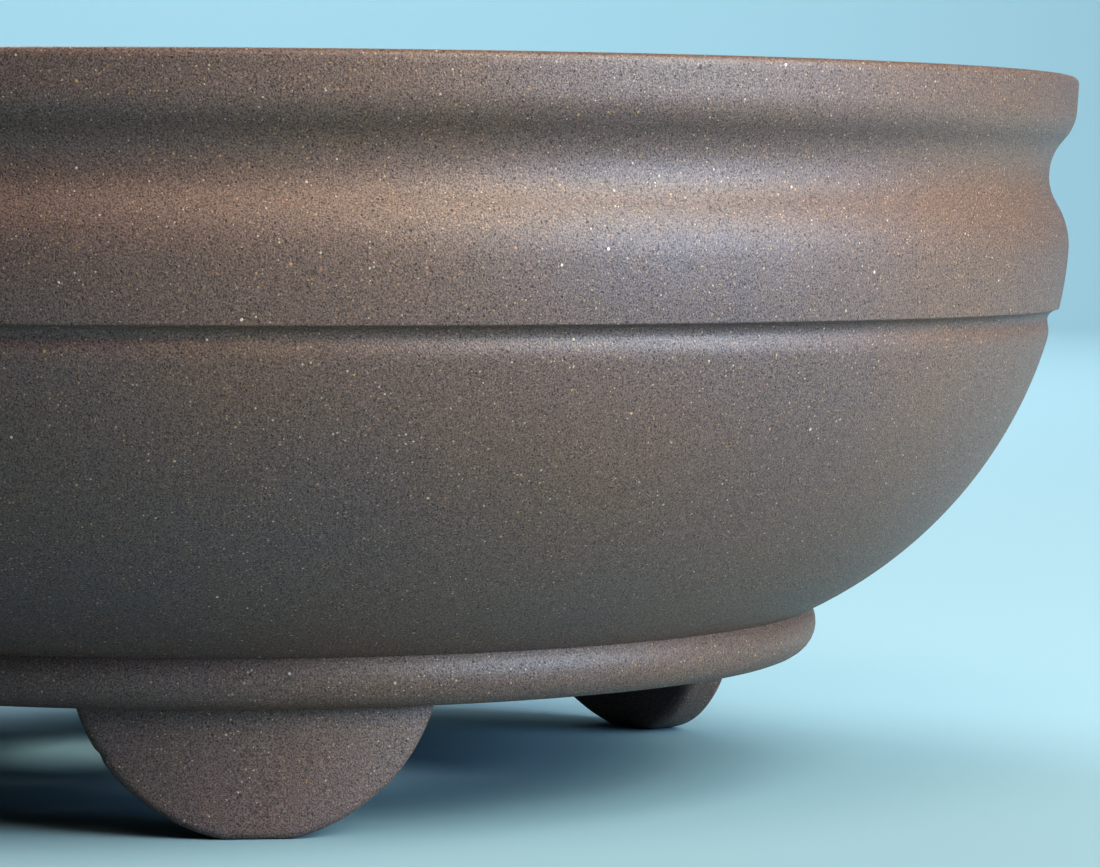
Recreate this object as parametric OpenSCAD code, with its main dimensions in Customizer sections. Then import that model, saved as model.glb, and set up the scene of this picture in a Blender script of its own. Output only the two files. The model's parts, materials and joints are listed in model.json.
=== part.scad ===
// Round bonsai pot of unglazed stoneware on three feet.
// The potter builds it from separate clay members, luted face to face with slip:
// a pressed bowl with a floor slab, three stacked rings (belt, neck and lip),
// a rolled foot ring and three cut feet.
// Millimetres. +Z is up. The origin is on the pot's axis at the surface it stands on.
// The front foot is at -Y.

/* [Overall] */
// Outside diameter of the rim
rim_d = 190; // [150:1:260]
// Height from the standing surface to the top of the rim
pot_h = 77.6; // [62:0.2:110]
// Colour of the fired clay
clay = "#6b5a54"; // [#6b5a54:dark brown, #7d5a48:red brown, #5a5654:grey]

/* [Bowl] */
// Thickness of the bowl's wall
wall = 6.5; // [4:0.1:9]
// Radius of the bowl's curve, seen in section
bowl_curve_r = 48.7; // [40:0.1:70]
// Thickness of the floor slab
floor_t = 6; // [4:0.1:9]
// Diameter of the floor slab
floor_slab_d = 100; // [84:1:104]

/* [Upper rings] */
// Depth of the neck, from the rim's outside to the bottom of the hollow
neck_in = 3.2; // [2:0.1:5]
// Distance of the neck's narrowest place below the rim's top
neck_down = 10.8; // [9:0.1:14]
// Radius of the hollow at the neck
neck_r = 5.7; // [4.5:0.1:8]
// Radius of the lip's rounded underside
lip_under_r = 5.1; // [3.5:0.1:6]
// Distance from the rim's top to where the lip's underside starts to round
lip_face_h = 3.3; // [2.5:0.1:5]
// Radius of the rim's outer top edge
rim_outer_r = 0.7; // [0.3:0.1:1.5]
// Radius of the rim's inner top edge
rim_inner_r = 1.6; // [0.5:0.1:3]
// Radius of the belt's rounded shoulder
shoulder_r = 8.9; // [6:0.1:12]
// Distance of the belt's lower edge below the rim's top
belt_edge_down = 25.4; // [22:0.1:32]
// Distance from the rim's outside in to the belt's lower edge
belt_edge_in = 1.93; // [1.5:0.01:3]
// Angle at which the belt's face leans out above its lower edge
belt_lean = 12.3; // [8:0.1:16]
// Radius of the belt's face, seen in section
belt_face_r = 49.1; // [40:0.1:70]

/* [Groove under the belt] */
// Depth of the groove, measured from the bowl's upper edge
groove_in = 0.3; // [0.1:0.1:1]
// Height of the groove's upper slope
groove_up = 1.3; // [0.5:0.1:2]
// Height of the groove's lower slope
groove_low = 1; // [0.4:0.1:2]
// Distance from the rim's outside in to the bowl's upper edge
bowl_edge_in = 2.9; // [2.5:0.05:5]

/* [Foot ring and feet] */
// Diameter of the foot ring, along the middle of its coil
ring_d = 125.6; // [118:0.2:150]
// Thickness of the foot ring's coil
ring_t = 7; // [5:0.1:9]
// Height of the feet, from the standing surface to the foot ring
foot_h = 13.15; // [8:0.05:20]
// Thickness of each foot, measured from the axis outwards
foot_t = 5.8; // [4:0.1:8]
// Radius of each foot's round outline
foot_outline_r = 18.8; // [15:0.1:22]
// Width of the flat that each foot stands on
foot_flat_w = 6.8; // [4:0.1:12]
// Distance from the middle of the ring's coil in to the foot's outer face
foot_set_in = 0.8; // [0.2:0.1:1.5]

/* [Holes in the floor] */
// Diameter of the drainage hole
drain_d = 28; // [20:0.5:36]
// Diameter of each hole for a tie wire
tie_hole_d = 6; // [5:0.5:8]
// Diameter of the circle that the tie-wire holes lie on
tie_circle_d = 68; // [60:1:76]

/* [Hidden] */
$fn = 96;
arc_steps = 12;
feet = 3;
tie_holes = 4;
tie_first_angle = 45;
cut = 1;
seat_outer_angle = 33;
seat_inner_angle = 200;

// A point at an angle on a circle
function on_circle(centre, r, angle) = centre + r * [cos(angle), sin(angle)];
// Points along an arc, from one angle to another
function arc(centre, r, from, to) = [
    for (i = [0 : arc_steps]) on_circle(centre, r, from + (to - from) * i / arc_steps)
];
// Angle of the direction from one point to another
function heading(a, b) = atan2(b.y - a.y, b.x - a.x);
// Where two circles meet, on the left of the way from the first centre to the second
function circles_meet(c1, r1, c2, r2) =
    let (
        gap = norm(c2 - c1),
        along = (r1 * r1 - r2 * r2 + gap * gap) / (2 * gap),
        aside = sqrt(r1 * r1 - along * along),
        dir = (c2 - c1) / gap
    )
    c1 + along * dir + aside * [-dir.y, dir.x];

// Foot ring's coil and the sloping seat where it meets the bowl, in section
rim_r = rim_d / 2;
ring_c = [ring_d / 2, foot_h + ring_t / 2];
seat_out = on_circle(ring_c, ring_t / 2, seat_outer_angle);
seat_in = on_circle(ring_c, ring_t / 2, seat_inner_angle);
// Width of the block that cuts the seat, wider than the coil on both sides
seat_cut_w = 3 * ring_t;
base_z = seat_in.y;
floor_z = base_z + floor_t;

// Bowl's curve, through its seat and its upper edge
bowl_edge = [rim_r - bowl_edge_in, pot_h - belt_edge_down - groove_up - groove_low];
bowl_c = circles_meet(seat_out, bowl_curve_r, bowl_edge, bowl_curve_r);
bowl_in_r = bowl_curve_r - wall;
joint_z = bowl_edge.y + groove_low;
groove_r = bowl_edge.x - groove_in;
mouth_r = bowl_c.x + sqrt(pow(bowl_in_r, 2) - pow(bowl_c.y - joint_z, 2));

// Neck's hollow, and the round of the lip that runs into it
neck_c = [rim_r - neck_in + neck_r, pot_h - neck_down];
lip_z = pot_h - lip_face_h;
lip_reach = neck_r + lip_under_r;
lip_c = [neck_c.x - sqrt(pow(lip_reach, 2) - pow(lip_z - neck_c.y, 2)), lip_z];
lip_joint = on_circle(lip_c, lip_under_r, heading(lip_c, neck_c));

// Belt's face leans out from its lower edge, and its shoulder runs into the neck's hollow
belt_edge = [rim_r - belt_edge_in, joint_z + groove_up];
belt_c = on_circle(belt_edge, belt_face_r, 180 - belt_lean);
shoulder_c = circles_meet(neck_c, neck_r + shoulder_r, belt_c, belt_face_r - shoulder_r);
belt_joint = on_circle(shoulder_c, shoulder_r, heading(shoulder_c, neck_c));

// Feet, cut from a slab: a round outline with a flat to stand on
foot_out_r = ring_d / 2 - foot_set_in;
foot_c_z = sqrt(pow(foot_outline_r, 2) - pow(foot_flat_w / 2, 2));

module bowl_wall() {
    color(clay)
    rotate_extrude()
    difference() {
        polygon(concat(
            [[floor_slab_d / 2, base_z], seat_in],
            arc(bowl_c, bowl_curve_r, heading(bowl_c, seat_out), heading(bowl_c, bowl_edge)),
            [[groove_r, joint_z], [floor_slab_d / 2, joint_z]]
        ));
        bowl_hollow();
    }
}

// Section of the room for soil inside the bowl
module bowl_hollow() {
    polygon(concat(
        [[0, joint_z + cut], [0, floor_z]],
        [for (p = arc(bowl_c, bowl_in_r, -90, heading(bowl_c, [mouth_r, joint_z])))
            [p.x, max(p.y, floor_z)]],
        [[mouth_r, joint_z + cut]]
    ));
}

module floor_slab() {
    color(clay)
    difference() {
        translate([0, 0, base_z]) cylinder(h = floor_t, d = floor_slab_d);
        translate([0, 0, base_z - cut]) cylinder(h = floor_t + 2 * cut, d = drain_d);
        for (i = [0 : tie_holes - 1])
            rotate([0, 0, tie_first_angle + i * 360 / tie_holes])
                translate([tie_circle_d / 2, 0, base_z - cut])
                    cylinder(h = floor_t + 2 * cut, d = tie_hole_d);
    }
}

module belt_ring() {
    color(clay)
    rotate_extrude()
    polygon(concat(
        [[mouth_r, joint_z], [groove_r, joint_z]],
        arc(belt_c, belt_face_r, -belt_lean, heading(belt_c, shoulder_c)),
        arc(shoulder_c, shoulder_r, heading(belt_c, shoulder_c), heading(shoulder_c, neck_c)),
        [[mouth_r, belt_joint.y]]
    ));
}

module neck_ring() {
    color(clay)
    rotate_extrude()
    polygon(concat(
        [[mouth_r, belt_joint.y]],
        arc(neck_c, neck_r, 360 + heading(neck_c, shoulder_c), heading(neck_c, lip_c)),
        [[mouth_r, lip_joint.y]]
    ));
}

module rim_lip() {
    color(clay)
    rotate_extrude()
    polygon(concat(
        [[mouth_r, lip_joint.y]],
        arc(lip_c, lip_under_r, heading(lip_c, neck_c), 0),
        arc([rim_r - rim_outer_r, pot_h - rim_outer_r], rim_outer_r, 0, 90),
        arc([mouth_r + rim_inner_r, pot_h - rim_inner_r], rim_inner_r, 90, 180)
    ));
}

module foot_ring() {
    color(clay)
    rotate_extrude()
    difference() {
        translate(ring_c) circle(d = ring_t);
        translate(seat_in)
            rotate(heading(seat_in, seat_out))
                translate([-ring_t, 0]) square([seat_cut_w, ring_t]);
    }
}

// A foot at -Y: a slab bent to the foot ring's round, with a round outline below
module foot() {
    color(clay)
    intersection() {
        rotate_extrude()
        difference() {
            translate([foot_out_r - foot_t, 0]) square([foot_t, base_z]);
            translate(ring_c) circle(d = ring_t);
        }
        translate([0, 0, foot_c_z])
            rotate([90, 0, 0])
                cylinder(h = ring_d, r = foot_outline_r);
    }
}

module foot_front() { foot(); }
module foot_right() { rotate([0, 0, 360 / feet]) foot(); }
module foot_left() { rotate([0, 0, -360 / feet]) foot(); }

bowl_wall();
floor_slab();
belt_ring();
neck_ring();
rim_lip();
foot_ring();
foot_front();
foot_right();
foot_left();
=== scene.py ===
"""Round bonsai pot of unglazed stoneware: its clay members, their finish and a plain studio.

Run as a script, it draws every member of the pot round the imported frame. Lengths are in metres.
"""

import json

import bmesh
import bpy
import numpy as np
from mathutils import Matrix, Vector


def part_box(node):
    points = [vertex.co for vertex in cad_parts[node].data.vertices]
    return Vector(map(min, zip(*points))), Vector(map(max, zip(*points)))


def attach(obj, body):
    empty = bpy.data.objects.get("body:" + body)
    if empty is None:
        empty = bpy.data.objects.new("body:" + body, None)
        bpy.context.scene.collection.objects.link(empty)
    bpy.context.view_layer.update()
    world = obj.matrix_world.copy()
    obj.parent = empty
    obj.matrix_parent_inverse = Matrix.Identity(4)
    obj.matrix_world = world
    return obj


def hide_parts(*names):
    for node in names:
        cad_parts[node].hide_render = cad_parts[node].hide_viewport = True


bl_info = {
    "name": "Stoneware Bonsai Pot",
    "version": (1, 0, 0),
    "blender": (4, 5, 0),
    "location": "View3D > Sidebar > Pot",
    "description": "Draws a round three-foot bonsai pot of unglazed stoneware, with its studio",
    "category": "Add Mesh",
}

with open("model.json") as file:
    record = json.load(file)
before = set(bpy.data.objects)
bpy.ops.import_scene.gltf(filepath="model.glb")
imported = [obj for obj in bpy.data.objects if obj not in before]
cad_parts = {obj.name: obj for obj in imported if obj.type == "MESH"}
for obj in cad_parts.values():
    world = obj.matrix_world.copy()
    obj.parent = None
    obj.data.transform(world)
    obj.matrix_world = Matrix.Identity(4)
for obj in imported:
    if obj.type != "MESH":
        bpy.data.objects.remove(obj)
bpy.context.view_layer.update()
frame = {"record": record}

MM = 0.001
BODY = "root"

RIM_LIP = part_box("rim_lip")
BOWL_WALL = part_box("bowl_wall")
FLOOR_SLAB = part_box("floor_slab")
FOOT_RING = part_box("foot_ring")
FOOT_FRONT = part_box("foot_front")
DRAIN = next(m for m in frame["record"]["mounts"] if m["name"] == "drain_hole")["dims"]
TIES = next(m for m in frame["record"]["mounts"] if m["name"] == "tie_holes")["dims"]

# Steps of the turned surfaces, round the axis and along the section
TURNS = 480
HOLE_TURNS = 48
SLAB_TURNS = 240
ARC_STEP = 0.7 * MM
SLAB_STEP = 2 * MM
ROUND_STEPS = 7
CURVE_STEPS = 13
# Points closer than this are welded, and a crease sharper than this stays crisp
WELD = 0.0005 * MM
CREASE = float(np.radians(38))

# Where the foot ring's sloping seat cuts its coil, as angles on the coil's circle
SEAT_HIGH = np.radians(33)
SEAT_LOW = np.radians(200)
# How much of the groove's two slopes stands upright at its bottom
GROOVE_LOW_PULL = 0.5
GROOVE_HIGH_PULL = 0.7

# Unevenness of the turned wall: height over which it wanders, and the groove's ragged depth
WANDER_RISE = 80 * MM
GROOVE_REACH = 0.9 * MM
OUTER_SKIN = 90 * MM
RAGGED = 0.025 * MM

# Feet: steps over a rubbed edge, across a face, along half the outline and along the top
EDGE_STEPS = 7
FACE_STEPS = 14
OUTLINE_STEPS = 64
TOP_STEPS = 34
# Height of a face's middle, as a share of the foot's height
FACE_MIDDLE = 0.55
# Hand-cut outline: two sizes of wave, and a nick in the front foot's left side
WAVE_WIDE = 0.05 * MM
WAVE_FINE = 0.03 * MM
NICK = 0.25 * MM
NICK_AT = np.radians(147)
NICK_WIDTH = np.radians(1.6)

# Sizes of the clay's patterns, and the depths of its relief
DRIFT = 42 * MM
BLOTCH = 3.2 * MM
PIT_GAP = 0.5 * MM
PIT = 0.15 * MM
FINE_GRIT = 0.13 * MM
BOLD_GRIT = 0.19 * MM
TOOL_LINE = 0.5 * MM
TOOL_LINE_RELIEF = 0.05 * MM
SAND_RELIEF = 0.05 * MM
BLOTCH_RELIEF = 0.02 * MM
PIT_RELIEF = -0.04 * MM
GRIT_RELIEF = 0.03 * MM
# Share of the clay's main colour in a blotch, and how far tool lines are drawn out sideways
BODY_SHARE = 0.6
TOOL_LINE_DRAWN = 0.08
# Width of a grain's soft edge, as a share of its radius
GRAIN_EDGE = 0.25
# How much duller the pits are, and how much shinier the tops of the grains
DULLER, SHINIER = 0.08, 0.06
# Sand grains lighten and darken the clay between these two shares
SAND_DARK = 0.35
SAND_LIGHT = 1.6
# Grit colours lean to ochre: a higher power leaves fewer pale grains
PALE_RARITY = 4.0

# Softboxes: name, degrees right of the front, degrees up, distance, size, watts, colour
SOFTBOXES = (
    ("key", 52, 36, 1.2, 0.9, 17.0, "#FCFFF4"),
    ("low_window", 57, 5, 1.2, 0.6, 15.5, "#B4DAFF"),
    ("warm_fill", -5, 57, 1.2, 0.7, 3.6, "#FFE4D0"),
    ("back_fill", 205, 38, 1.3, 0.8, 9.0, "#F4FAFF"),
)
AIM = Vector((0, 0, 0.04))
BACKDROP_LIGHT = {"shape": "SQUARE", "size": 1.0, "energy": 17.0}
BACKDROP_LIGHT_COLOUR = "#F4FCFF"
BACKDROP_LIGHT_AT = (0.1, 1.35, 1.3)
BACKDROP_LIGHT_BACK = Vector((0.0, -0.6, 0.8))
ROOM_COLOUR = "#DCEBF2"
ROOM_STRENGTH = 0.01
# Paper sweep: where it starts to rise, the radius of its bend, its height and half its width
SWEEP_BACK, SWEEP_BEND, SWEEP_TALL, SWEEP_HALF = 1.7, 0.5, 1.6, 2.8
SWEEP_FRONT = -2.4
SWEEP_STEP = 0.02
PAPER_ROUGHNESS = 0.95


def length(name, description, millimetres):
    """A size in the sidebar, given in millimetres."""
    return bpy.props.FloatProperty(
        name=name, description=description, default=millimetres * MM, min=0.0, unit="LENGTH"
    )


def angle(name, description, degrees):
    """An angle in the sidebar, given in degrees."""
    return bpy.props.FloatProperty(
        name=name, description=description, default=float(np.radians(degrees)), unit="ROTATION"
    )


def srgb(code):
    """Linear red, green and blue of an sRGB hex colour."""
    parts = np.array([int(code[i : i + 2], 16) for i in (1, 3, 5)]) / 255
    return tuple(np.where(parts <= 0.04045, parts / 12.92, ((parts + 0.055) / 1.055) ** 2.4))


def colour(name, description, code):
    """A colour in the sidebar, given as an sRGB hex value."""
    return bpy.props.FloatVectorProperty(
        name=name, description=description, default=srgb(code), size=3, subtype="COLOR", min=0, max=1
    )


class PotSizes(bpy.types.PropertyGroup):
    """Sizes of the pot's mouldings that the frame's boxes don't give."""

    wall: length("Wall", "Thickness of the bowl's wall", 6.5)
    bowl_curve: length("Bowl curve", "Radius of the bowl's curve in section", 48.7)
    bowl_edge_in: length("Bowl edge", "Bowl's upper edge, in from the rim's outside", 2.9)
    neck_in: length("Neck depth", "Bottom of the neck's hollow, in from the rim's outside", 3.2)
    neck_down: length("Neck place", "Neck's narrowest place, below the rim's top", 10.8)
    neck_round: length("Neck hollow", "Radius of the neck's hollow", 5.7)
    lip_under: length("Lip underside", "Radius of the lip's rounded underside", 5.1)
    lip_face: length("Lip face", "Height of the lip's upright face", 3.3)
    rim_outer: length("Rim outer edge", "Radius of the rim's outer top edge", 0.7)
    rim_inner: length("Rim inner edge", "Radius of the rim's inner top edge", 1.6)
    shoulder: length("Belt shoulder", "Radius of the belt's rounded shoulder", 8.9)
    belt_face: length("Belt face", "Radius of the belt's face in section", 49.1)
    belt_in: length("Belt place", "Belt's lower edge, in from the rim's outside", 1.93)
    belt_lean: angle("Belt lean", "How far the belt's face leans out above its lower edge", 12.3)
    belt_edge: length("Belt edge", "Radius of the belt's blunt lower edge", 0.3)
    groove_in: length("Groove depth", "Depth of the groove under the belt", 0.3)
    groove_up: length("Groove upper slope", "Height of the groove's upper slope", 1.3)
    groove_low: length("Groove lower slope", "Height of the groove's lower slope", 1.0)
    foot_thick: length("Foot thickness", "Thickness of a foot, outwards from the axis", 5.8)
    foot_round: length("Foot outline", "Radius of a foot's round outline", 18.8)
    foot_flat: length("Foot flat", "Width of the flat that a foot stands on", 6.8)
    foot_edge: length("Foot outer edge", "Radius of a foot's rubbed outer edge", 0.8)
    foot_back: length("Foot inner edge", "Radius of a foot's rubbed inner edge", 1.6)
    hole_edge: length("Hole edge", "Radius of the rubbed edges of the holes", 0.8)
    unevenness: length("Unevenness", "How far the hand-made wall wanders in and out", 0.035)


class PotClay(bpy.types.PropertyGroup):
    """Colours and grain of the fired clay."""

    body: colour("Clay", "Main colour of the fired clay", "#705B52")
    warm: colour("Warm clay", "Colour where the kiln left it redder", "#745C4F")
    cool: colour("Cool clay", "Colour where the kiln left it greyer", "#685856")
    pit: colour("Pits", "Colour in the pits between the grains", "#33292A")
    grit_pale: colour("Pale grit", "Feldspar and sand grains", "#DCCDB6")
    grit_ochre: colour("Ochre grit", "Iron-stained grains", "#B98B5A")
    grain: length("Grain", "Size of the sandy grain", 0.17)
    grit_gap: length("Grit spacing", "Distance between fine grit grains", 0.38)
    bold_gap: length("Bold grit spacing", "Distance between the few bold grit grains", 1.5)
    roughness: bpy.props.FloatProperty(
        name="Roughness", description="Roughness of the fired surface", default=0.46, min=0, max=1
    )


class PotStudio(bpy.types.PropertyGroup):
    """The floor, the lights and the place of the camera."""

    floor: colour("Floor", "Colour of the paper sweep that the pot stands on", "#9AB6C0")
    distance: length("Camera distance", "From the pot's axis to the camera", 493.3)
    height: length("Camera height", "Height of the camera above the floor", 63.5)
    side: angle("Camera side", "How far round to the left of the front foot it stands", 2.45)
    pan: angle("Camera pan", "How far it is turned right, away from the pot's axis", 4.2)
    tilt: angle("Camera tilt", "How far it looks down", 3.03)
    roll: angle("Camera roll", "How far it leans", 0.264)
    lens: bpy.props.FloatProperty(
        name="Lens", description="Focal length for a 36 mm sensor", default=142.3, unit="CAMERA"
    )


# Sections ----------------------------------------------------------------------------------------


def on_circle(centre, radius, at):
    """Point at an angle on a circle, in the (distance from the axis, height) plane."""
    return np.asarray(centre) + radius * np.array([np.cos(at), np.sin(at)])


def arc(centre, radius, start, end):
    """Points along an arc: centre + radius (cos a, sin a), for a evenly from start to end."""
    count = max(4, int(abs(end - start) * radius / ARC_STEP) + 1)
    a = np.linspace(start, end, count)[:, None]
    return np.asarray(centre) + radius * np.hstack([np.cos(a), np.sin(a)])


def line(start, end, step=ARC_STEP):
    """Points along a straight line, without its two ends."""
    start, end = np.asarray(start, float), np.asarray(end, float)
    count = int(np.linalg.norm(end - start) / step) + 2
    t = np.linspace(0, 1, count)[1:-1, None]
    return start + (end - start) * t


def heading(a, b):
    """Angle of the direction from one point to another."""
    return float(np.arctan2(b[1] - a[1], b[0] - a[0]))


def circles_meet(c1, r1, c2, r2):
    """Where two circles meet, on the left of the way from the first centre to the second."""
    c1, c2 = np.asarray(c1), np.asarray(c2)
    gap = np.linalg.norm(c2 - c1)
    along = (r1**2 - r2**2 + gap**2) / (2 * gap)
    aside = np.sqrt(r1**2 - along**2)
    d = (c2 - c1) / gap
    return c1 + along * d + aside * np.array([-d[1], d[0]])


def blunt(before, corner, after, radius):
    """Arc of that radius that rounds a corner and touches both of its straight sides."""
    before, corner, after = (np.asarray(p, float) for p in (before, corner, after))
    a = (before - corner) / np.linalg.norm(before - corner)
    b = (after - corner) / np.linalg.norm(after - corner)
    half = np.arccos(np.clip(a @ b, -1, 1)) / 2
    middle = (a + b) / np.linalg.norm(a + b)
    centre = corner + middle * radius / np.sin(half)
    start = corner + a * radius / np.tan(half) - centre
    end = corner + b * radius / np.tan(half) - centre
    turn = np.arctan2(start[0] * end[1] - start[1] * end[0], start @ end)
    t = np.linspace(0, turn, ROUND_STEPS) + np.arctan2(start[1], start[0])
    return centre + radius * np.column_stack([np.cos(t), np.sin(t)])


def curve(*pull):
    """Smooth curve from the first point to the last, drawn towards the points between (Bezier)."""
    t = np.linspace(0, 1, CURVE_STEPS)[:, None]
    points = [np.asarray(p, float)[None] + 0 * t for p in pull]
    while len(points) > 1:
        points = [a + (b - a) * t for a, b in zip(points, points[1:])]
    return points[0]


def layout(s):
    """Every centre and joint of the section, worked out from the frame's boxes and the sizes."""
    rim_r, top = RIM_LIP[1].x, RIM_LIP[1].z
    ring_low, ring_out = FOOT_RING[0].z, FOOT_RING[1].x
    base, joint = BOWL_WALL[0].z, BOWL_WALL[1].z
    p = {"rim_r": rim_r, "top": top, "base": base, "joint": joint}
    # The coil's circle touches the ring's lowest and outermost lines; its seat is a chord.
    coil = (base - ring_low) / (1 + np.sin(SEAT_LOW))
    p["coil"], p["coil_c"] = coil, np.array([ring_out - coil, ring_low + coil])
    p["seat_out"] = on_circle(p["coil_c"], coil, SEAT_HIGH)
    p["seat_in"] = on_circle(p["coil_c"], coil, SEAT_LOW)
    p["bowl_edge"] = np.array([rim_r - s.bowl_edge_in, joint - s.groove_low])
    p["bowl_c"] = circles_meet(p["seat_out"], s.bowl_curve, p["bowl_edge"], s.bowl_curve)
    p["groove"] = np.array([p["bowl_edge"][0] - s.groove_in, joint])
    # The groove's bottom is round: its two slopes meet upright at the joint.
    p["groove_low"] = p["groove"] - np.array([0, s.groove_low * GROOVE_LOW_PULL])
    p["groove_high"] = p["groove"] + np.array([0, s.groove_up * GROOVE_HIGH_PULL])
    inner = s.bowl_curve - s.wall
    p["mouth"] = p["bowl_c"][0] + np.sqrt(inner**2 - (p["bowl_c"][1] - joint) ** 2)
    p["neck_c"] = np.array([rim_r - s.neck_in + s.neck_round, top - s.neck_down])
    rise = top - s.lip_face - p["neck_c"][1]
    reach = s.neck_round + s.lip_under
    p["lip_c"] = p["neck_c"] + np.array([-np.sqrt(reach**2 - rise**2), rise])
    p["belt_edge"] = np.array([rim_r - s.belt_in, joint + s.groove_up])
    p["belt_c"] = on_circle(p["belt_edge"], s.belt_face, np.pi - s.belt_lean)
    p["shoulder_c"] = circles_meet(
        p["neck_c"], s.neck_round + s.shoulder, p["belt_c"], s.belt_face - s.shoulder
    )
    return p


# Meshes ------------------------------------------------------------------------------------------


def wander(points, amount, groove_z):
    """Hand-made unevenness of the turned wall.

    Every point moves in towards the axis by amount (1 - w), where w is a mean of slow sine waves
    of its angle and height, so members that meet still meet. Beside the groove the outer skin
    also moves in by up to 0.1 mm, as the groove's depth varies round the pot.
    """
    x, y, z = points.T
    r, a = np.hypot(x, y), np.arctan2(y, x)
    h = z / WANDER_RISE
    w = np.sin(2 * a + 0.7) + 0.7 * np.sin(3 * a - 9 * h + 1.9)
    w += 0.5 * np.sin(7 * a + 5 * h) + 0.3 * np.sin(13 * a - 22 * h + 0.4)
    shift = amount * (1 - w / 2.5)
    near = np.exp(-(((z - groove_z) / GROOVE_REACH) ** 2)) * (r > OUTER_SKIN)
    ragged = 2 + np.sin(17 * a) + 0.6 * np.sin(41 * a + 2.1) + 0.4 * np.sin(97 * a + 0.3)
    shift = shift + RAGGED * ragged * near
    scale = (r - shift) / np.maximum(r, 1e-9)
    return np.column_stack([x * scale, y * scale, z])


def lathe(outline, turns=TURNS):
    """Closed ring: outline point (r, z) at turn angle a becomes (r cos a, r sin a, z).

    The outline's last point joins its first, and the last turn joins the first.
    """
    a = np.linspace(0, 2 * np.pi, turns, endpoint=False)[:, None]
    r, z = outline[:, 0][None], outline[:, 1][None]
    grid = np.stack([r * np.cos(a), r * np.sin(a), np.broadcast_to(z, (turns, r.size))], -1)
    i, j = np.meshgrid(np.arange(turns), np.arange(r.size), indexing="ij")
    n, k = r.size, (i + 1) % turns
    l = (j + 1) % n
    faces = np.stack([i * n + j, k * n + j, k * n + l, i * n + l], -1).reshape(-1, 4)
    return grid.reshape(-1, 3), faces.tolist()


def new_mesh(name, points, faces):
    """A mesh object in metres from points and a list of faces, welded, with its faces outward."""
    mesh = bpy.data.meshes.new(name)
    mesh.from_pydata(points.tolist(), [], faces)
    work = bmesh.new()
    work.from_mesh(mesh)
    bmesh.ops.remove_doubles(work, verts=work.verts, dist=WELD)
    bmesh.ops.recalc_face_normals(work, faces=work.faces)
    work.to_mesh(mesh)
    work.free()
    thing = bpy.data.objects.new(name, mesh)
    bpy.context.scene.collection.objects.link(thing)
    return thing


def finish_piece(thing, node, material):
    """Smooth faces, crisp joints, material; hangs the piece on the body, hides its CAD node."""
    thing.data.shade_smooth()
    thing.data.set_sharp_from_angle(angle=CREASE)
    thing.data.materials.clear()
    thing.data.materials.append(material)
    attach(thing, BODY)
    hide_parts(node)
    return thing


def turned(name, outline, node, material):
    """A clay member turned round the axis from its closed section."""
    s = bpy.context.scene.pot_sizes
    points, faces = lathe(outline)
    points = wander(points, s.unevenness, BOWL_WALL[1].z)
    return finish_piece(new_mesh(name, points, faces), node, material)


# Materials ---------------------------------------------------------------------------------------


def add(tree, kind, inputs=(), **settings):
    """Adds a shader node, sets its settings, and sets each input or links it to a node or socket.

    A node stands for the first output that its settings leave in use.
    """
    made = tree.nodes.new("ShaderNode" + kind)
    for name, value in settings.items():
        setattr(made, name, value)
    for name, value in dict(inputs).items():
        if isinstance(value, bpy.types.Node):
            value = next(output for output in value.outputs if output.enabled)
        if isinstance(value, bpy.types.NodeSocket):
            tree.links.new(value, made.inputs[name])
        else:
            made.inputs[name].default_value = value
    return made


def opaque(value):
    """A colour with its alpha, as a colour socket takes it."""
    return (*value, 1.0)


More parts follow.
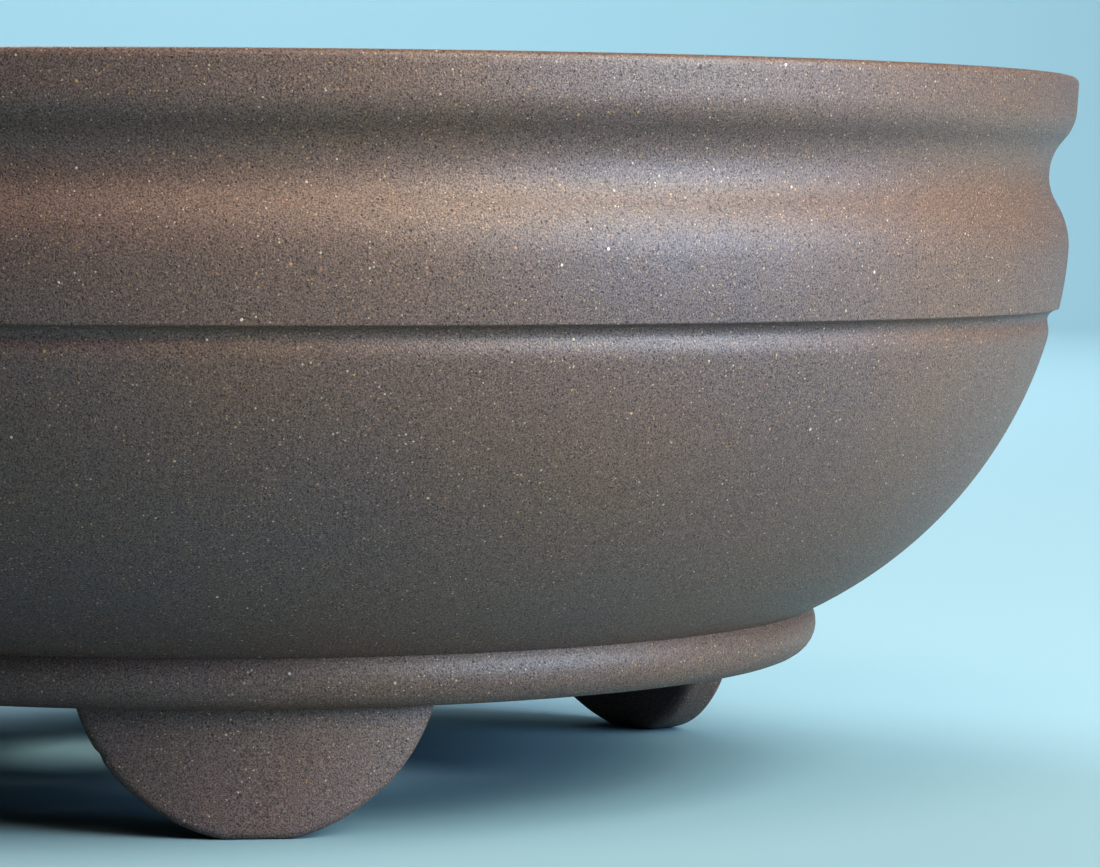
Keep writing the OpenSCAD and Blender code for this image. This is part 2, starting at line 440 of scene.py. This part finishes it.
def stoneware(name, tool_lines=0.0):
    """Unglazed iron-bearing stoneware, turned or cut, then sponged and fired hard.

    The fired body is a matt brown-grey with a dry, sandy grain. Quartz, feldspar and iron grit
    show as pale and ochre dots of 0.2 to 0.4 mm, and pits between grains are near black. The
    vitrified clay has a broad, weak gloss, so a low light greys it. tool_lines is the height of
    the lines that a drawn tool leaves on a cut face.
    """
    made = bpy.data.materials.get(name)
    if made is not None:
        return made
    c = bpy.context.scene.pot_clay
    made = bpy.data.materials.new(name)
    made.use_nodes = True
    tree = made.node_tree
    tree.nodes.clear()
    at = add(tree, "TexCoord").outputs["Object"]

    # Three clay tones: wide drifts from the kiln, and blotches of a few millimetres.
    wide = add(tree, "TexNoise", {"Vector": at, "Scale": 1 / DRIFT, "Detail": 1.0})
    drift = add(tree, "MapRange", {"Value": wide, "From Min": 0.35, "From Max": 0.65})
    blotch = add(tree, "TexNoise", {"Vector": at, "Scale": 1 / BLOTCH, "Detail": 3.0})
    mottle = add(tree, "MapRange", {"Value": blotch, "From Min": 0.3, "From Max": 0.7})
    part = add(tree, "Math", {0: mottle, 1: BODY_SHARE}, operation="MULTIPLY")
    tone = add(tree, "Mix", {0: drift, 6: opaque(c.cool), 7: opaque(c.warm)}, data_type="RGBA")
    tone = add(tree, "Mix", {0: part, 6: tone, 7: opaque(c.body)}, data_type="RGBA")

    # The sandy grain is drawn coarser than the finest real sand, so that it shows.
    sand = add(tree, "TexNoise", {"Vector": at, "Scale": 1 / c.grain, "Roughness": 0.6})
    light = {"Value": sand, "From Min": 0.3, "From Max": 0.7}
    light.update({"To Min": SAND_DARK, "To Max": SAND_LIGHT})
    light = add(tree, "MapRange", light)
    tone = add(tree, "VectorMath", {0: tone, 1: light}, operation="MULTIPLY")

    # Pits and grit: one in some of the cells of a cell pattern, of random size and colour.
    # Each layer has its spacing, largest radius, share of filled cells, strength and colours.
    layers = []
    for gap, radius, share, strength, ends in (
        (PIT_GAP, PIT, 0.7, 0.6, (c.pit, c.pit)),
        (c.grit_gap, FINE_GRIT, 0.55, 0.6, (c.grit_ochre, c.grit_pale)),
        (c.bold_gap, BOLD_GRIT, 0.6, 0.8, (c.grit_ochre, c.grit_pale)),
    ):
        cells = add(tree, "TexVoronoi", {"Vector": at, "Scale": 1 / gap})
        chance = add(tree, "SeparateColor", {"Color": cells.outputs["Color"]})
        size = {"Value": chance.outputs[0], "From Min": 1 - share, "To Max": radius / gap}
        size = add(tree, "MapRange", size)
        inside = {0: size, 1: cells.outputs["Distance"]}
        inside = add(tree, "Math", inside, operation="SUBTRACT")
        grain = add(tree, "MapRange", {"Value": inside, "From Max": GRAIN_EDGE * radius / gap})
        rare = add(tree, "Math", {0: chance.outputs[1], 1: PALE_RARITY}, operation="POWER")
        kind = {0: rare, 6: opaque(ends[0]), 7: opaque(ends[1])}
        kind = add(tree, "Mix", kind, data_type="RGBA")
        shown = add(tree, "Math", {0: grain, 1: strength}, operation="MULTIPLY")
        tone = add(tree, "Mix", {0: shown, 6: tone, 7: kind}, data_type="RGBA")
        layers.append(grain)

    # Relief in metres: sandy grain, pits, blotches, the boldest grit and tool lines.
    stretch = (TOOL_LINE_DRAWN, TOOL_LINE_DRAWN, 1.0)
    drawn = add(tree, "Mapping", {"Vector": at, "Scale": stretch})
    lines = add(tree, "TexNoise", {"Vector": drawn, "Scale": 1 / TOOL_LINE, "Detail": 2.0})
    height = 0.0
    for layer, depth in (
        (sand, SAND_RELIEF),
        (mottle, BLOTCH_RELIEF),
        (layers[0], PIT_RELIEF),
        (layers[2], GRIT_RELIEF),
        (lines, tool_lines),
    ):
        height = add(tree, "Math", {0: layer, 1: depth, 2: height}, operation="MULTIPLY_ADD")
    relief = add(tree, "Bump", {"Height": height, "Strength": 1.0, "Distance": 1.0})
    shine = {"Value": sand, "From Min": 0.3, "From Max": 0.7}
    shine.update({"To Min": c.roughness + DULLER, "To Max": c.roughness - SHINIER})
    shine = add(tree, "MapRange", shine)
    skin = {"Base Color": tone, "Roughness": shine, "IOR": 1.5, "Normal": relief}
    skin = add(tree, "BsdfPrincipled", skin)
    add(tree, "OutputMaterial", {"Surface": skin})
    return made


def paper():
    """Matt paper sweep: a pale sheet with no gloss, so only soft shadows show on it."""
    made = bpy.data.materials.new("sweep_paper")
    made.use_nodes = True
    skin = made.node_tree.nodes["Principled BSDF"]
    skin.inputs["Base Color"].default_value = opaque(bpy.context.scene.pot_studio.floor)
    skin.inputs["Roughness"].default_value = PAPER_ROUGHNESS
    return made


# Members -----------------------------------------------------------------------------------------


class POT_OT_bowl(bpy.types.Operator):
    """Draws the bowl: its round belly, the groove's lower slope and the room for soil"""

    bl_idname = "pot.bowl"
    bl_label = "Bowl"

    def execute(self, context):
        s = context.scene.pot_sizes
        p = layout(s)
        slab_r, floor_z = FLOOR_SLAB[1].x, FLOOR_SLAB[1].z
        c, inner = p["bowl_c"], s.bowl_curve - s.wall
        mouth = np.array([p["mouth"], p["joint"]])
        low = (slab_r, p["base"])
        outside = arc(c, s.bowl_curve, heading(c, p["seat_out"]), heading(c, p["bowl_edge"]))
        slope = curve(outside[-3], p["bowl_edge"], p["groove_low"], p["groove"])
        inside = arc(c, inner, heading(c, mouth), np.arcsin((floor_z - c[1]) / inner))
        inside = inside[inside[:, 1] > floor_z]
        floor_in = np.array([[slab_r, floor_z]])
        outline = np.vstack(
            [low, line(low, p["seat_in"]), p["seat_in"], line(p["seat_in"], p["seat_out"]),
             outside[:-3], slope,
             line(p["groove"], mouth), inside, line(inside[-1], floor_in[0]), floor_in,
             line(floor_in[0], low)]
        )
        turned("bowl", outline, "bowl_wall", stoneware("stoneware_turned"))
        return {"FINISHED"}


class POT_OT_floor_slab(bpy.types.Operator):
    """Draws the floor slab with its drainage hole and tie-wire holes"""

    bl_idname = "pot.floor_slab"
    bl_label = "Floor slab"

    def execute(self, context):
        s = context.scene.pot_sizes
        low, high, out = FLOOR_SLAB[0].z, FLOOR_SLAB[1].z, FLOOR_SLAB[1].x
        hole, e = DRAIN["r_mm"] * MM, s.hole_edge
        outline = np.vstack(
            [(out, low), (out, high), line((out, high), (hole + e, high), SLAB_STEP),
             arc((hole + e, high - e), e, np.pi / 2, np.pi),
             arc((hole + e, low + e), e, np.pi, 3 * np.pi / 2),
             line((hole + e, low), (out, low), SLAB_STEP)]
        )
        slab = new_mesh("floor_disc", *lathe(outline, SLAB_TURNS))
        for k in range(TIES["count"]):
            turn = np.pi / 4 + k * 2 * np.pi / TIES["count"]
            self.pierce(slab, turn, low, high, e)
        finish_piece(slab, "floor_slab", stoneware("stoneware_turned"))
        return {"FINISHED"}

    def pierce(self, slab, turn, low, high, e):
        """Cuts a tie-wire hole whose two ends flare by the radius of the rubbed edge."""
        r, middle = TIES["hole_r_mm"] * MM, TIES["pcd_mm"] / 2 * MM
        past = 1 * MM
        side = np.vstack(
            [arc((r + e, high - e), e, np.pi / 2, np.pi)[1:-1],
             arc((r + e, low + e), e, np.pi, 3 * np.pi / 2)[1:-1]]
        )
        outline = np.vstack(
            [(0, high + past), (side[0][0] + past / 4, high + past), side,
             (side[-1][0] + past / 4, low - past), (0, low - past)]
        )
        points, faces = lathe(outline, HOLE_TURNS)
        points = points + np.array([middle * np.cos(turn), middle * np.sin(turn), 0])
        cutter = new_mesh("tie_cutter", points, faces)
        cut = slab.modifiers.new("tie hole", "BOOLEAN")
        cut.operation, cut.object, cut.solver = "DIFFERENCE", cutter, "EXACT"
        graph = bpy.context.evaluated_depsgraph_get()
        slab.data = bpy.data.meshes.new_from_object(slab.evaluated_get(graph))
        slab.modifiers.clear()
        bpy.data.objects.remove(cutter)


class POT_OT_belt(bpy.types.Operator):
    """Draws the raised belt, from the groove's deepest line to the neck's hollow"""

    bl_idname = "pot.belt"
    bl_label = "Belt"

    def execute(self, context):
        s = context.scene.pot_sizes
        p = layout(s)
        c, shoulder = p["belt_c"], p["shoulder_c"]
        face = arc(c, s.belt_face, -s.belt_lean, heading(c, shoulder))
        edge = blunt(p["groove"], p["belt_edge"], face[2], s.belt_edge)
        under = curve(p["groove"], p["groove_high"], edge[0])
        top = arc(shoulder, s.shoulder, heading(c, shoulder), heading(shoulder, p["neck_c"]))
        mouth_low = np.array([p["mouth"], p["joint"]])
        mouth_high = np.array([p["mouth"], top[-1][1]])
        outline = np.vstack(
            [mouth_low, line(mouth_low, p["groove"]), under[:-1], edge, face[3:], top[1:],
             line(top[-1], mouth_high), mouth_high, line(mouth_high, mouth_low)]
        )
        turned("belt", outline, "belt_ring", stoneware("stoneware_turned"))
        return {"FINISHED"}


class POT_OT_neck(bpy.types.Operator):
    """Draws the hollow neck between the belt and the lip"""

    bl_idname = "pot.neck"
    bl_label = "Neck"

    def execute(self, context):
        s = context.scene.pot_sizes
        p = layout(s)
        c = p["neck_c"]
        low = heading(c, p["shoulder_c"]) + 2 * np.pi
        hollow = arc(c, s.neck_round, low, heading(c, p["lip_c"]))
        mouth_low = np.array([p["mouth"], hollow[0][1]])
        mouth_high = np.array([p["mouth"], hollow[-1][1]])
        outline = np.vstack(
            [mouth_low, line(mouth_low, hollow[0]), hollow, line(hollow[-1], mouth_high),
             mouth_high, line(mouth_high, mouth_low)]
        )
        turned("neck", outline, "neck_ring", stoneware("stoneware_turned"))
        return {"FINISHED"}


class POT_OT_lip(bpy.types.Operator):
    """Draws the upright lip with its rounded underside and blunt top edges"""

    bl_idname = "pot.lip"
    bl_label = "Lip"

    def execute(self, context):
        s = context.scene.pot_sizes
        p = layout(s)
        c = p["lip_c"]
        under = arc(c, s.lip_under, heading(c, p["neck_c"]), 0.0)
        out = arc((p["rim_r"] - s.rim_outer, p["top"] - s.rim_outer), s.rim_outer, 0, np.pi / 2)
        inn = arc(
            (p["mouth"] + s.rim_inner, p["top"] - s.rim_inner), s.rim_inner, np.pi / 2, np.pi
        )
        mouth = np.array([p["mouth"], under[0][1]])
        outline = np.vstack(
            [mouth, line(mouth, under[0]), under, line(under[-1], out[0]), out,
             line(out[-1], inn[0]), inn, line(inn[-1], mouth)]
        )
        turned("lip", outline, "rim_lip", stoneware("stoneware_turned"))
        return {"FINISHED"}


class POT_OT_foot_ring(bpy.types.Operator):
    """Draws the rolled coil round the base"""

    bl_idname = "pot.foot_ring"
    bl_label = "Foot ring"

    def execute(self, context):
        p = layout(context.scene.pot_sizes)
        c, coil = p["coil_c"], p["coil"]
        start = heading(c, p["seat_in"])
        round_side = arc(c, coil, start, heading(c, p["seat_out"]))
        outline = np.vstack([round_side, line(round_side[-1], round_side[0])])
        turned("coil", outline, "foot_ring", stoneware("stoneware_turned"))
        return {"FINISHED"}


class POT_OT_feet(bpy.types.Operator):
    """Draws the three feet, each cut by hand from a slab and rubbed round at its edges"""

    bl_idname = "pot.feet"
    bl_label = "Feet"

    def execute(self, context):
        turns = (("foot_front", 0.0), ("foot_right", 120.0), ("foot_left", -120.0))
        for k, (node, turn) in enumerate(turns):
            points, faces = self.shape(context.scene.pot_sizes, k)
            spin = np.radians(turn)
            x, y, z = points.T
            across = x * np.cos(spin) - y * np.sin(spin)
            along = x * np.sin(spin) + y * np.cos(spin)
            points = np.column_stack([across, along, z])
            foot = new_mesh(node + "_cut", points, faces)
            finish_piece(foot, node, stoneware("stoneware_cut", TOOL_LINE_RELIEF))
        return {"FINISHED"}

    def shape(self, s, k):
        """Points and faces of the foot at -Y.

        Each row is the foot's outline at one depth: a circle's lower part cut off flat, closed
        by a straight top. Rows shrink to a point in the outer face, round over its edge, run
        across the thickness, round over the inner edge and shrink to a point in the inner face.
        A row's points bend round the axis: y = -sqrt((outer radius - depth)^2 - x^2).
        """
        p = layout(s)
        out_r = -FOOT_FRONT[0].y
        thick, e, b = s.foot_thick, s.foot_edge, s.foot_back
        quarter = np.linspace(0, np.pi / 2, EDGE_STEPS)
        spread = np.linspace(0, 1, FACE_STEPS)[1:]
        across = np.linspace(e, thick - b, EDGE_STEPS)[1:-1]
        inset = np.concatenate(
            [e + 0 * spread, e * (1 - np.sin(quarter)), 0 * across, b * (1 - np.cos(quarter)),
             b + 0 * spread]
        )
        depth = np.concatenate(
            [0 * spread, e * (1 - np.cos(quarter)), across, thick - b * (1 - np.sin(quarter)),
             thick + 0 * spread]
        )
        full = np.ones(2 * quarter.size + across.size)
        scale = np.concatenate([spread, full, spread[::-1]])
        radius = (out_r - depth)[:, None]
        coil_c, coil = p["coil_c"], p["coil"]
        off = np.clip(np.abs(radius - coil_c[0]), 0, coil)
        top = np.minimum(p["base"], coil_c[1] - np.sqrt(coil**2 - off**2))
        centre_z = np.sqrt(s.foot_round**2 - (s.foot_flat / 2) ** 2)
        ring = s.foot_round - inset[:, None]
        low = inset[:, None]
        high_a = np.arcsin((top - centre_z) / ring)
        low_a = np.arcsin(np.clip((low - centre_z) / ring, -1, 1))
        t = np.linspace(0, 1, OUTLINE_STEPS)[None]
        a_right = high_a + (low_a - high_a) * t
        a = np.hstack([a_right, (-np.pi - a_right)[:, ::-1]])
        hand = WAVE_WIDE * (1 + np.sin(5 * a + 1.7 * k)) + WAVE_FINE * (1 + np.sin(11 * a + k))
        nick = NICK * np.exp(-(((a + NICK_AT) / NICK_WIDTH) ** 2)) * (k == 0)
        fade = 1 - np.hstack([t, t[:, ::-1]]) ** 6
        reach = ring - (hand + nick) * fade
        x = reach * np.cos(a)
        z = np.maximum(centre_z + reach * np.sin(a), low)
        u = np.linspace(0, 1, TOP_STEPS)[None, 1:-1]
        x = np.hstack([x, x[:, -1:] + (x[:, :1] - x[:, -1:]) * u])
        z = np.hstack([z, z[:, -1:] + (z[:, :1] - z[:, -1:]) * u])
        middle = FACE_MIDDLE * top
        x = x * scale[:, None]
        z = middle + (z - middle) * scale[:, None]
        y = -np.sqrt(radius**2 - x**2)
        rows, n = x.shape
        points = np.stack([x, y, z], -1).reshape(-1, 3)
        ends = np.array(
            [[0, -radius[0, 0], middle[0, 0]], [0, -radius[-1, 0], middle[-1, 0]]]
        )
        i, j = np.meshgrid(np.arange(rows - 1), np.arange(n), indexing="ij")
        l = (j + 1) % n
        quads = np.stack([i * n + j, i * n + l, (i + 1) * n + l, (i + 1) * n + j], -1)
        first, last = rows * n, rows * n + 1
        j = np.arange(n)
        l = (j + 1) % n
        caps = [np.stack([first + 0 * j, l, j], -1),
                np.stack([last + 0 * j, (rows - 1) * n + j, (rows - 1) * n + l], -1)]
        faces = quads.reshape(-1, 4).tolist() + np.vstack(caps).tolist()
        return np.vstack([points, ends]), faces


class POT_OT_studio(bpy.types.Operator):
    """Lays the paper sweep, hangs the lights and sets up the camera"""

    bl_idname = "pot.studio"
    bl_label = "Studio"

    def execute(self, context):
        scene = context.scene
        studio = scene.pot_studio
        self.sweep()
        for box in SOFTBOXES:
            self.softbox(*box)
        self.backdrop_light()
        world = bpy.data.worlds.new("room")
        world.use_nodes = True
        sky = world.node_tree.nodes["Background"]
        sky.inputs["Color"].default_value = opaque(srgb(ROOM_COLOUR))
        sky.inputs["Strength"].default_value = ROOM_STRENGTH
        scene.world = world
        scene.view_settings.view_transform = "Standard"
        scene.view_settings.look = "High Contrast"
        scene.camera = self.camera(studio)
        return {"FINISHED"}

    def sweep(self):
        """Floor and backdrop in one sheet: the floor runs back, then rises on a quarter circle.

        Point (u, v) = (u, profile(v)), where profile is the floor line, the arc and the wall.
        """
        back, bend = SWEEP_BACK, SWEEP_BEND
        rise = arc((back, bend), bend, -np.pi / 2, 0)[:: int(SWEEP_STEP / ARC_STEP)]
        level = [(SWEEP_FRONT, 0), (-0.5, 0), (0.2, 0), (0.9, 0)]
        profile = np.vstack([level, rise, (back + bend, SWEEP_TALL)])
        across = np.linspace(-SWEEP_HALF, SWEEP_HALF, 25)
        x, row = np.meshgrid(across, np.arange(len(profile)))
        points = np.stack([x, profile[row, 0], profile[row, 1]], -1).reshape(-1, 3)
        n = len(across)
        i, j = np.meshgrid(np.arange(len(profile) - 1), np.arange(n - 1), indexing="ij")
        a = (i * n + j).ravel()
        faces = np.stack([a, a + 1, a + n + 1, a + n], -1)
        mesh = bpy.data.meshes.new("sweep")
        mesh.from_pydata(points.tolist(), [], faces.tolist())
        mesh.shade_smooth()
        mesh.materials.append(paper())
        floor = bpy.data.objects.new("sweep", mesh)
        bpy.context.scene.collection.objects.link(floor)

    def softbox(self, name, side, rise, distance, size, power, code):
        """A square soft light, side degrees round to the right of the front, rise degrees up."""
        lamp = bpy.data.lights.new(name, "AREA")
        lamp.shape, lamp.size, lamp.energy, lamp.color = "SQUARE", size, power, srgb(code)
        a, e = np.radians(side), np.radians(rise)
        away = Vector((np.sin(a) * np.cos(e), -np.cos(a) * np.cos(e), np.sin(e)))
        thing = bpy.data.objects.new(name, lamp)
        thing.location = AIM + away * distance
        thing.rotation_euler = away.to_track_quat("Z", "Y").to_euler()
        bpy.context.scene.collection.objects.link(thing)

    def backdrop_light(self):
        """A wide light high above the floor behind the pot, facing down and back."""
        lamp = bpy.data.lights.new("backdrop", "AREA")
        for name, value in BACKDROP_LIGHT.items():
            setattr(lamp, name, value)
        lamp.color = srgb(BACKDROP_LIGHT_COLOUR)
        thing = bpy.data.objects.new("backdrop", lamp)
        thing.location = BACKDROP_LIGHT_AT
        thing.rotation_euler = BACKDROP_LIGHT_BACK.to_track_quat("Z", "Y").to_euler()
        bpy.context.scene.collection.objects.link(thing)

    def camera(self, studio):
        """The camera stands level with the wall, looks a little down and right of the axis."""
        eye = bpy.data.cameras.new("camera")
        eye.sensor_width, eye.lens, eye.clip_start = 36, studio.lens, 0.01
        eye.dof.use_dof = False
        thing = bpy.data.objects.new("camera", eye)
        bpy.context.scene.collection.objects.link(thing)
        a, turn, tilt, roll = studio.side, studio.side + studio.pan, studio.tilt, studio.roll
        spot = Vector((-np.sin(a), -np.cos(a), 0)) * studio.distance
        spot.z = studio.height
        ahead = Vector(
            (np.sin(turn) * np.cos(tilt), np.cos(turn) * np.cos(tilt), -np.sin(tilt))
        )
        level = Vector((np.cos(turn), -np.sin(turn), 0))
        up = level.cross(ahead)
        right = np.cos(roll) * level + np.sin(roll) * up
        upright = np.cos(roll) * up - np.sin(roll) * level
        axes = Matrix((right, upright, -ahead)).transposed().to_4x4()
        thing.matrix_world = Matrix.Translation(spot) @ axes
        return thing


MEMBERS = (
    POT_OT_bowl,
    POT_OT_floor_slab,
    POT_OT_belt,
    POT_OT_neck,
    POT_OT_lip,
    POT_OT_foot_ring,
    POT_OT_feet,
    POT_OT_studio,
)


class POT_PT_panel(bpy.types.Panel):
    """Lists the pot's members and its studio in the sidebar"""

    bl_idname = "POT_PT_panel"
    bl_label = "Bonsai Pot"
    bl_space_type = "VIEW_3D"
    bl_region_type = "UI"
    bl_category = "Pot"

    def draw(self, context):
        for member in MEMBERS:
            self.layout.operator(member.bl_idname)
        for group in (context.scene.pot_sizes, context.scene.pot_clay, context.scene.pot_studio):
            box = self.layout.box()
            for name in group.__annotations__:
                box.prop(group, name)


CLASSES = (PotSizes, PotClay, PotStudio, *MEMBERS, POT_PT_panel)


def register():
    """Adds the sizes, operators and panel to Blender."""
    for cls in CLASSES:
        bpy.utils.register_class(cls)
    bpy.types.Scene.pot_sizes = bpy.props.PointerProperty(type=PotSizes)
    bpy.types.Scene.pot_clay = bpy.props.PointerProperty(type=PotClay)
    bpy.types.Scene.pot_studio = bpy.props.PointerProperty(type=PotStudio)


def unregister():
    """Takes them away again."""
    del bpy.types.Scene.pot_studio
    del bpy.types.Scene.pot_clay
    del bpy.types.Scene.pot_sizes
    for cls in reversed(CLASSES):
        bpy.utils.unregister_class(cls)


def main():
    """Draws the pot and its studio."""
    register()
    bpy.ops.pot.bowl()
    bpy.ops.pot.floor_slab()
    bpy.ops.pot.belt()
    bpy.ops.pot.neck()
    bpy.ops.pot.lip()
    bpy.ops.pot.foot_ring()
    bpy.ops.pot.feet()
    bpy.ops.pot.studio()


if __name__ == "__main__":
    main()
